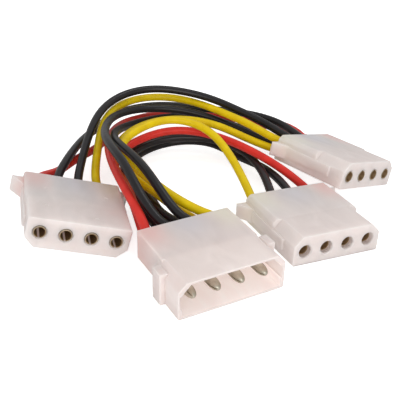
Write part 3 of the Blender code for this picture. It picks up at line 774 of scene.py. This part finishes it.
class MakePinHousing(bpy.types.Operator):
    """Makes the housing with the shroud, its flanges and its rear block"""
    bl_idname = "splitter.make_pin_housing"
    bl_label = "Pin housing"

    def execute(self, context):
        settings = context.scene.splitter_housings
        outline = cut_corner_outline(SHROUD_WIDTH, SHROUD_HEIGHT, SHROUD_CUT)
        shroud = rounded(outline, settings.corner)
        body = loft("pin_body", [(0.0, shroud), (SHROUD_DEPTH + SHROUD_BACK, shroud)])
        low = SHROUD_HEIGHT - PIN_REAR_HEIGHT
        half = PIN_REAR_WIDTH / 2
        rear = rounded([(-half, low), (half, low), (half, SHROUD_HEIGHT), (-half, SHROUD_HEIGHT)],
                       settings.corner)
        extras = [loft("rear", [(SHROUD_DEPTH, rear), (PIN_DEPTH, rear)])]
        for side in (-1, 1):
            middle = side * (SHROUD_WIDTH + FLANGE_PROUD - LAP) / 2
            extras.append(block(
                "flange", FLANGE_PROUD + LAP, FLANGE_FRONT, FLANGE_FRONT + FLANGE_LENGTH,
                FLANGE_LOW, SHROUD_HEIGHT - FLANGE_DROP, middle))
        combine(body, extras, "UNION")
        outline = cut_corner_outline(SOCKET_WIDTH + 2 * MATE_GAP, SOCKET_HEIGHT + 2 * MATE_GAP,
                                     MOUTH_CUT, SHROUD_FLAT_WALL)
        inside = rounded(outline, MOUTH_ROUND)
        grooves = SOCKET_WIDTH + 2 * (RIB_PROUD + MATE_GAP)
        cuts = [loft("mouth", [(-PAST, inside), (SHROUD_DEPTH, inside)]),
                block("rib_grooves", grooves, -PAST, SHROUD_DEPTH,
                      MOUTH_LOW + RIB_LOW - MATE_GAP, MOUTH_LOW + RIB_HIGH + MATE_GAP)]
        for way in range(WAYS):
            profile = [(0.0, SHROUD_DEPTH - PAST), (PIN_HOLE, SHROUD_DEPTH - PAST),
                       (PIN_HOLE, PIN_SLOT_FRONT + LAP), (0.0, PIN_SLOT_FRONT + LAP)]
            cuts.append(turned("way", profile, way_x(way), PIN_HEIGHT))
            cuts.append(wire_slot(way, PIN_SLOT_FRONT, PIN_DEPTH, REAR_LEVEL))
        combine(body, cuts, "DIFFERENCE")
        mesh = take_mesh(body, "pin_housing", settings.edge)
        dress(mesh, shared_material(NYLON + "pin side", moulded_nylon, settings, True))
        housing = set_down("pin_housing", mesh, connector_matrix("front"))
        settle(housing, "natural_nylon", "pin_housing_front")
        return {"FINISHED"}


class MakeSocketHousings(bpy.types.Operator):
    """Makes the three housings that plug into a shroud, with their wings, ribs and ejector marks"""
    bl_idname = "splitter.make_socket_housings"
    bl_label = "Socket housings"

    def execute(self, context):
        settings = context.scene.splitter_housings
        outline = cut_corner_outline(SOCKET_WIDTH, SOCKET_HEIGHT, CORNER_CUT)
        front = rounded(outline, settings.corner)
        outline = cut_corner_outline(REAR_WIDTH, SOCKET_HEIGHT, REAR_EDGE)
        rear = rounded(outline, 2 * settings.corner)
        body = loft("socket_body", [
            (0.0, front), (MATING_DEPTH, front),
            (MATING_DEPTH + STEP_LENGTH, rear), (SOCKET_DEPTH, rear)])
        wing_front = SOCKET_DEPTH - WING_RAMP
        extras = []
        for side in (-1, 1):
            inner = side * (REAR_WIDTH / 2 - LAP)
            skin = side * REAR_WIDTH / 2
            tip = side * (REAR_WIDTH / 2 + WING_PROUD)
            outline = [(inner, wing_front), (skin, wing_front),
                       (tip, SOCKET_DEPTH - WING_FLAT), (tip, SOCKET_DEPTH), (inner, SOCKET_DEPTH)]
            extras.append(plate("wing", outline, WING_LOW, WING_HIGH))
            proud = side * (SOCKET_WIDTH / 2 + RIB_PROUD)
            root = side * (SOCKET_WIDTH / 2 - LAP)
            outline = [(root, RIB_FRONT), (proud, RIB_FRONT + RIB_SLOPE),
                       (proud, wing_front + LAP), (root, wing_front + LAP)]
            extras.append(plate("rib", outline, RIB_LOW, RIB_HIGH))
        # The outside is rounded before the holes are cut, so that their edges stay crisp.
        outside = take_mesh(combine(body, extras, "UNION"), "socket_body", settings.edge)
        body = place_object("socket_body", outside)
        slope = (settings.funnel - SOCKET_HOLE) / settings.lip
        profile = [(0.0, -PAST), (settings.funnel + slope * PAST, -PAST),
                   (SOCKET_HOLE, settings.lip), (BORE, settings.lip),
                   (BORE, SLOT_FRONT + LAP), (0.0, SLOT_FRONT + LAP)]
        cuts = []
        for way in range(WAYS):
            cuts.append(turned("way", profile, way_x(way), WAY_HEIGHT))
            cuts.append(wire_slot(way, SLOT_FRONT, SOCKET_DEPTH, WAY_HEIGHT))
        cuts += [ejector_mark(x, y) for x, y in MARKS]
        mesh = take_mesh(combine(body, cuts, "DIFFERENCE"), "socket_housing")
        dress(mesh, shared_material(NYLON + "socket side", moulded_nylon, settings, False))
        for key, _, _ in SOCKETS:
            housing = set_down(f"drive_housing_{key}", mesh, connector_matrix(key))
            settle(housing, "natural_nylon", f"socket_housing_{key}")
        return {"FINISHED"}


# Terminals

class TerminalSettings(bpy.types.PropertyGroup):
    pin_radius: FloatProperty(
        name="Pin radius", description="Radius of a pin", default=1.065 * MM,
        unit="LENGTH", subtype="DISTANCE")
    outer: FloatProperty(
        name="Socket radius", description="Outer radius of a socket's tube", default=1.27 * MM,
        unit="LENGTH", subtype="DISTANCE")
    wall: FloatProperty(
        name="Strip", description="Thickness of the brass strip", default=0.18 * MM,
        unit="LENGTH", subtype="DISTANCE")
    slit: FloatProperty(
        name="Slit", description="Width of the socket's open seam", default=0.46 * MM,
        unit="LENGTH", subtype="DISTANCE")
    tin_gloss: FloatProperty(
        name="Roughness", description="Lowest roughness of the tin", default=0.42,
        min=0.0, max=1.0, subtype="FACTOR")


def crimp(start, flare, end, height, rise=0.0):
    """A neck of rounded section that flares into the crimp around the wires, raised by rise."""
    def section(y, wide, tall, middle):
        corners = [(x * wide / 2, middle + z * tall / 2)
                   for x, z in ((-1, -1), (1, -1), (1, 1), (-1, 1))]
        return y, rounded(corners, CRIMP_ROUND, 4)

    return loft("crimp", [
        section(start, NECK_WIDTH, NECK_WIDTH, 0.0), section(flare, NECK_WIDTH, NECK_WIDTH, 0.0),
        section(flare + CRIMP_FLARE, CRIMP_WIDTH, height, rise),
        section(end, CRIMP_WIDTH, height, rise)])


def split_tube_outline(outer, inner, slit, steps=20):
    """A tube's section with a slit at the top."""
    points = []
    for radius, order in ((outer, 1), (inner, -1)):
        gap = math.asin(slit / 2 / radius)
        start = math.pi / 2 + gap
        span = 2 * math.pi - 2 * gap
        turn = [start + span * i / (2 * steps) for i in range(2 * steps + 1)][::order]
        points += [(radius * math.cos(a), radius * math.sin(a)) for a in turn]
    return points


class MakePins(bpy.types.Operator):
    """Makes the four rolled pins with bullet tips and open seams"""
    bl_idname = "splitter.make_pins"
    bl_label = "Pins"

    def execute(self, context):
        settings = context.scene.splitter_terminals
        tip = SHROUD_DEPTH - PIN_REACH
        end = PIN_SLOT_FRONT - LAP
        profile = [(0.0, tip)]
        profile += [(settings.pin_radius * out, tip + PIN_BULLET * along) for out, along in BULLET]
        profile += [(settings.pin_radius, end), (0.0, end)]
        for way, seam_turn in enumerate(SEAM_TURNS):
            pin = turned("pin", profile, steps=36)
            seam = block("seam", SEAM_WIDTH, tip - PAST, tip + SEAM_LENGTH,
                         SEAM_FLOOR, settings.pin_radius + PAST)
            combine(pin, [seam], "DIFFERENCE")
            pin.data.transform(Matrix.Rotation(math.radians(seam_turn), 4, "Y"))
            held = crimp(end - LAP, PIN_SLOT_FRONT, PIN_SLOT_FRONT + PIN_CRIMP, CRIMP_DOUBLE,
                         REAR_LEVEL - PIN_HEIGHT)
            mesh = take_mesh(combine(pin, [held], "UNION"), "pin", PIN_EDGE)
            dress(mesh, shared_material(TIN + "pin", rolled_tin, settings, 0.0))
            shift = Matrix.Translation((way_x(way), 0.0, PIN_HEIGHT))
            piece = set_down(f"pin_{way + 1}", mesh, connector_matrix("front") @ shift)
            settle(piece, "tinned_brass", f"pin_front_{way + 1}")
        return {"FINISHED"}


class MakeSockets(bpy.types.Operator):
    """Makes the twelve rolled sockets with open seams"""
    bl_idname = "splitter.make_sockets"
    bl_label = "Sockets"

    def execute(self, context):
        settings = context.scene.splitter_terminals
        outline = split_tube_outline(settings.outer, settings.outer - settings.wall, settings.slit)
        # The socket's painted shade reaches to just inside its outer face
        tin = shared_material(TIN + "socket", rolled_tin, settings, settings.outer - PAINTED_SHADE_MARGIN)
        web_half = NECK_WIDTH / 2
        for key, front, height in SOCKETS:
            tube = loft("tube", [(front, outline), (SOCKET_END, outline)])
            web = block("web", CRIMP_WIDTH, SOCKET_END - LAP, SOCKET_END, -web_half, web_half)
            held = crimp(SOCKET_END - LAP, SLOT_FRONT + SOCKET_NECK,
                         SLOT_FRONT + SOCKET_CRIMP, height)
            mesh = take_mesh(combine(tube, [web, held], "UNION"), f"socket_{key}", SOCKET_EDGE)
            dress(mesh, tin)
            for way in range(WAYS):
                shift = Matrix.Translation((way_x(way), 0.0, WAY_HEIGHT))
                place = connector_matrix(key) @ shift
                piece = set_down(f"drive_socket_{key}_{way + 1}", mesh, place)
                settle(piece, "tinned_brass", f"socket_{key}_{way + 1}")
        return {"FINISHED"}


# Stage

class StageSettings(bpy.types.PropertyGroup):
    lens: FloatProperty(name="Lens", description="Focal length of the camera, in mm", default=65.0)
    distance: FloatProperty(
        name="Distance", description="From the camera to the point that it looks at",
        default=170.5 * MM, unit="LENGTH", subtype="DISTANCE")
    elevation: FloatProperty(
        name="Elevation", description="The camera's angle above the surface",
        default=math.radians(26.94), unit="ROTATION", subtype="ANGLE")
    roll: FloatProperty(
        name="Roll", description="The camera's tilt", default=math.radians(2.69),
        unit="ROTATION", subtype="ANGLE")
    aim: FloatVectorProperty(
        name="Aim", description="The point that the camera looks at",
        default=(-3.3 * MM, 8.6 * MM, 0.1 * MM), size=3, unit="LENGTH", subtype="TRANSLATION")
    key_power: FloatProperty(
        name="Key light", description="Power of the large light in front", default=1.05,
        unit="POWER", subtype="POWER")
    top_power: FloatProperty(
        name="Top light", description="Power of the soft light above", default=0.16,
        unit="POWER", subtype="POWER")
    ambient: FloatProperty(
        name="Ambient", description="Strength of the room's even light", default=0.56, min=0.0)


class MakeStage(bpy.types.Operator):
    """Sets the camera, the floor, the room's light and two soft lights"""
    bl_idname = "splitter.make_stage"
    bl_label = "Stage"

    def execute(self, context):
        settings = context.scene.splitter_stage
        scene = context.scene
        scene.view_settings.view_transform = "Standard"
        self.add_camera(scene, settings)
        self.add_floor()
        self.add_room(scene, settings)
        aim = Vector(settings.aim)
        self.add_light("front_softbox", Vector(KEY_PLACE), aim, KEY_SIZE, settings.key_power)
        self.add_light("top_softbox", Vector(TOP_PLACE), aim, TOP_SIZE, settings.top_power)
        return {"FINISHED"}

    def add_camera(self, scene, settings):
        """The camera, which looks at the aim point from in front and above, a little tilted."""
        camera = place_object("camera", bpy.data.cameras.new("camera"))
        camera.data.lens = settings.lens
        camera.data.sensor_width = 36.0
        camera.data.clip_start = 0.01
        camera.data.clip_end = 10.0
        tilt = Matrix.Rotation(math.pi / 2 - settings.elevation, 4, "X")
        roll = Matrix.Rotation(settings.roll, 4, "Z")
        back = Vector((0.0, -math.cos(settings.elevation), math.sin(settings.elevation)))
        eye = Vector(settings.aim) + back * settings.distance
        camera.matrix_world = Matrix.Translation(eye) @ tilt @ roll
        scene.camera = camera

    def add_floor(self):
        """White paper sweep: it shows white to the camera and keeps a faint shadow."""
        bm = bmesh.new()
        bmesh.ops.create_grid(bm, x_segments=4, y_segments=4, size=FLOOR_HALF)
        floor = mesh_object("floor", bm)
        floor.location.z = -FLOOR_DROP
        made, tree, shader, place = new_material("white paper, matt")
        fibre = noise(tree, place, 0.6 * MM, 2.0)
        tree.links.new(two_tone(tree, fibre, "#FFFFFF", "#FAFAFA"), shader.inputs["Base Color"])
        shader.inputs["Roughness"].default_value = 0.9
        shader.inputs["Specular IOR Level"].default_value = 0.0
        path = add_node(tree, "ShaderNodeLightPath")
        seen = math_node(tree, "MULTIPLY", path.outputs["Is Camera Ray"], FLOOR_WHITE)
        tree.links.new(seen, shader.inputs["Emission Strength"])
        shader.inputs["Emission Color"].default_value = linear("#FFFFFF")
        floor.data.materials.append(made)

    def add_room(self, scene, settings):
        """White to the camera and through clear things, and a soft even light for all else."""
        world = bpy.data.worlds.new("room")
        world.use_nodes = True
        tree = world.node_tree
        tree.nodes.clear()
        path = add_node(tree, "ShaderNodeLightPath")
        seen = math_node(tree, "MAXIMUM", path.outputs["Is Camera Ray"],
                         path.outputs["Is Transmission Ray"])
        soft, white = (
            add_node(tree, "ShaderNodeBackground", {
                "Color": linear("#FFFFFF"), "Strength": strength}).outputs[0]
            for strength in (settings.ambient, 1.0))
        both = add_node(tree, "ShaderNodeMixShader", {0: seen, 1: soft, 2: white})
        add_node(tree, "ShaderNodeOutputWorld", {"Surface": both.outputs[0]})
        scene.world = world

    def add_light(self, name, place, aim, size, power):
        """A square soft light at place, turned to the aim point."""
        lamp = bpy.data.lights.new(name, "AREA")
        lamp.shape = "SQUARE"
        lamp.size = size
        lamp.energy = power
        light = place_object(name, lamp)
        turn = (place - aim).to_track_quat("Z", "Y").to_matrix().to_4x4()
        light.matrix_world = Matrix.Translation(place) @ turn


class SplitterPanel(bpy.types.Panel):
    """Lists the cable's sizes and the steps that make it"""
    bl_idname = "VIEW3D_PT_splitter"
    bl_label = "Splitter cable"
    bl_space_type = "VIEW_3D"
    bl_region_type = "UI"
    bl_category = "Splitter"

    def draw(self, context):
        for group in GROUPS:
            box = self.layout.box()
            settings = getattr(context.scene, group)
            for key in settings.__annotations__:
                box.prop(settings, key)
        for step in STEPS:
            self.layout.operator(step.bl_idname)


GROUPS = {
    "splitter_stage": StageSettings,
    "splitter_wires": WireSettings,
    "splitter_housings": HousingSettings,
    "splitter_terminals": TerminalSettings,
}
STEPS = (MakeStage, MakeWires, MakePinHousing, MakeSocketHousings, MakePins, MakeSockets)


def register():
    for group, settings in GROUPS.items():
        bpy.utils.register_class(settings)
        setattr(bpy.types.Scene, group, PointerProperty(type=settings))
    for step in STEPS:
        bpy.utils.register_class(step)
    bpy.utils.register_class(SplitterPanel)


def unregister():
    bpy.utils.unregister_class(SplitterPanel)
    for step in reversed(STEPS):
        bpy.utils.unregister_class(step)
    for group, settings in reversed(list(GROUPS.items())):
        delattr(bpy.types.Scene, group)
        bpy.utils.unregister_class(settings)


def main():
    register()
    bpy.ops.splitter.make_stage()
    bpy.ops.splitter.make_wires()
    bpy.ops.splitter.make_pin_housing()
    bpy.ops.splitter.make_socket_housings()
    bpy.ops.splitter.make_pins()
    bpy.ops.splitter.make_sockets()


if __name__ == "__main__":
    main()
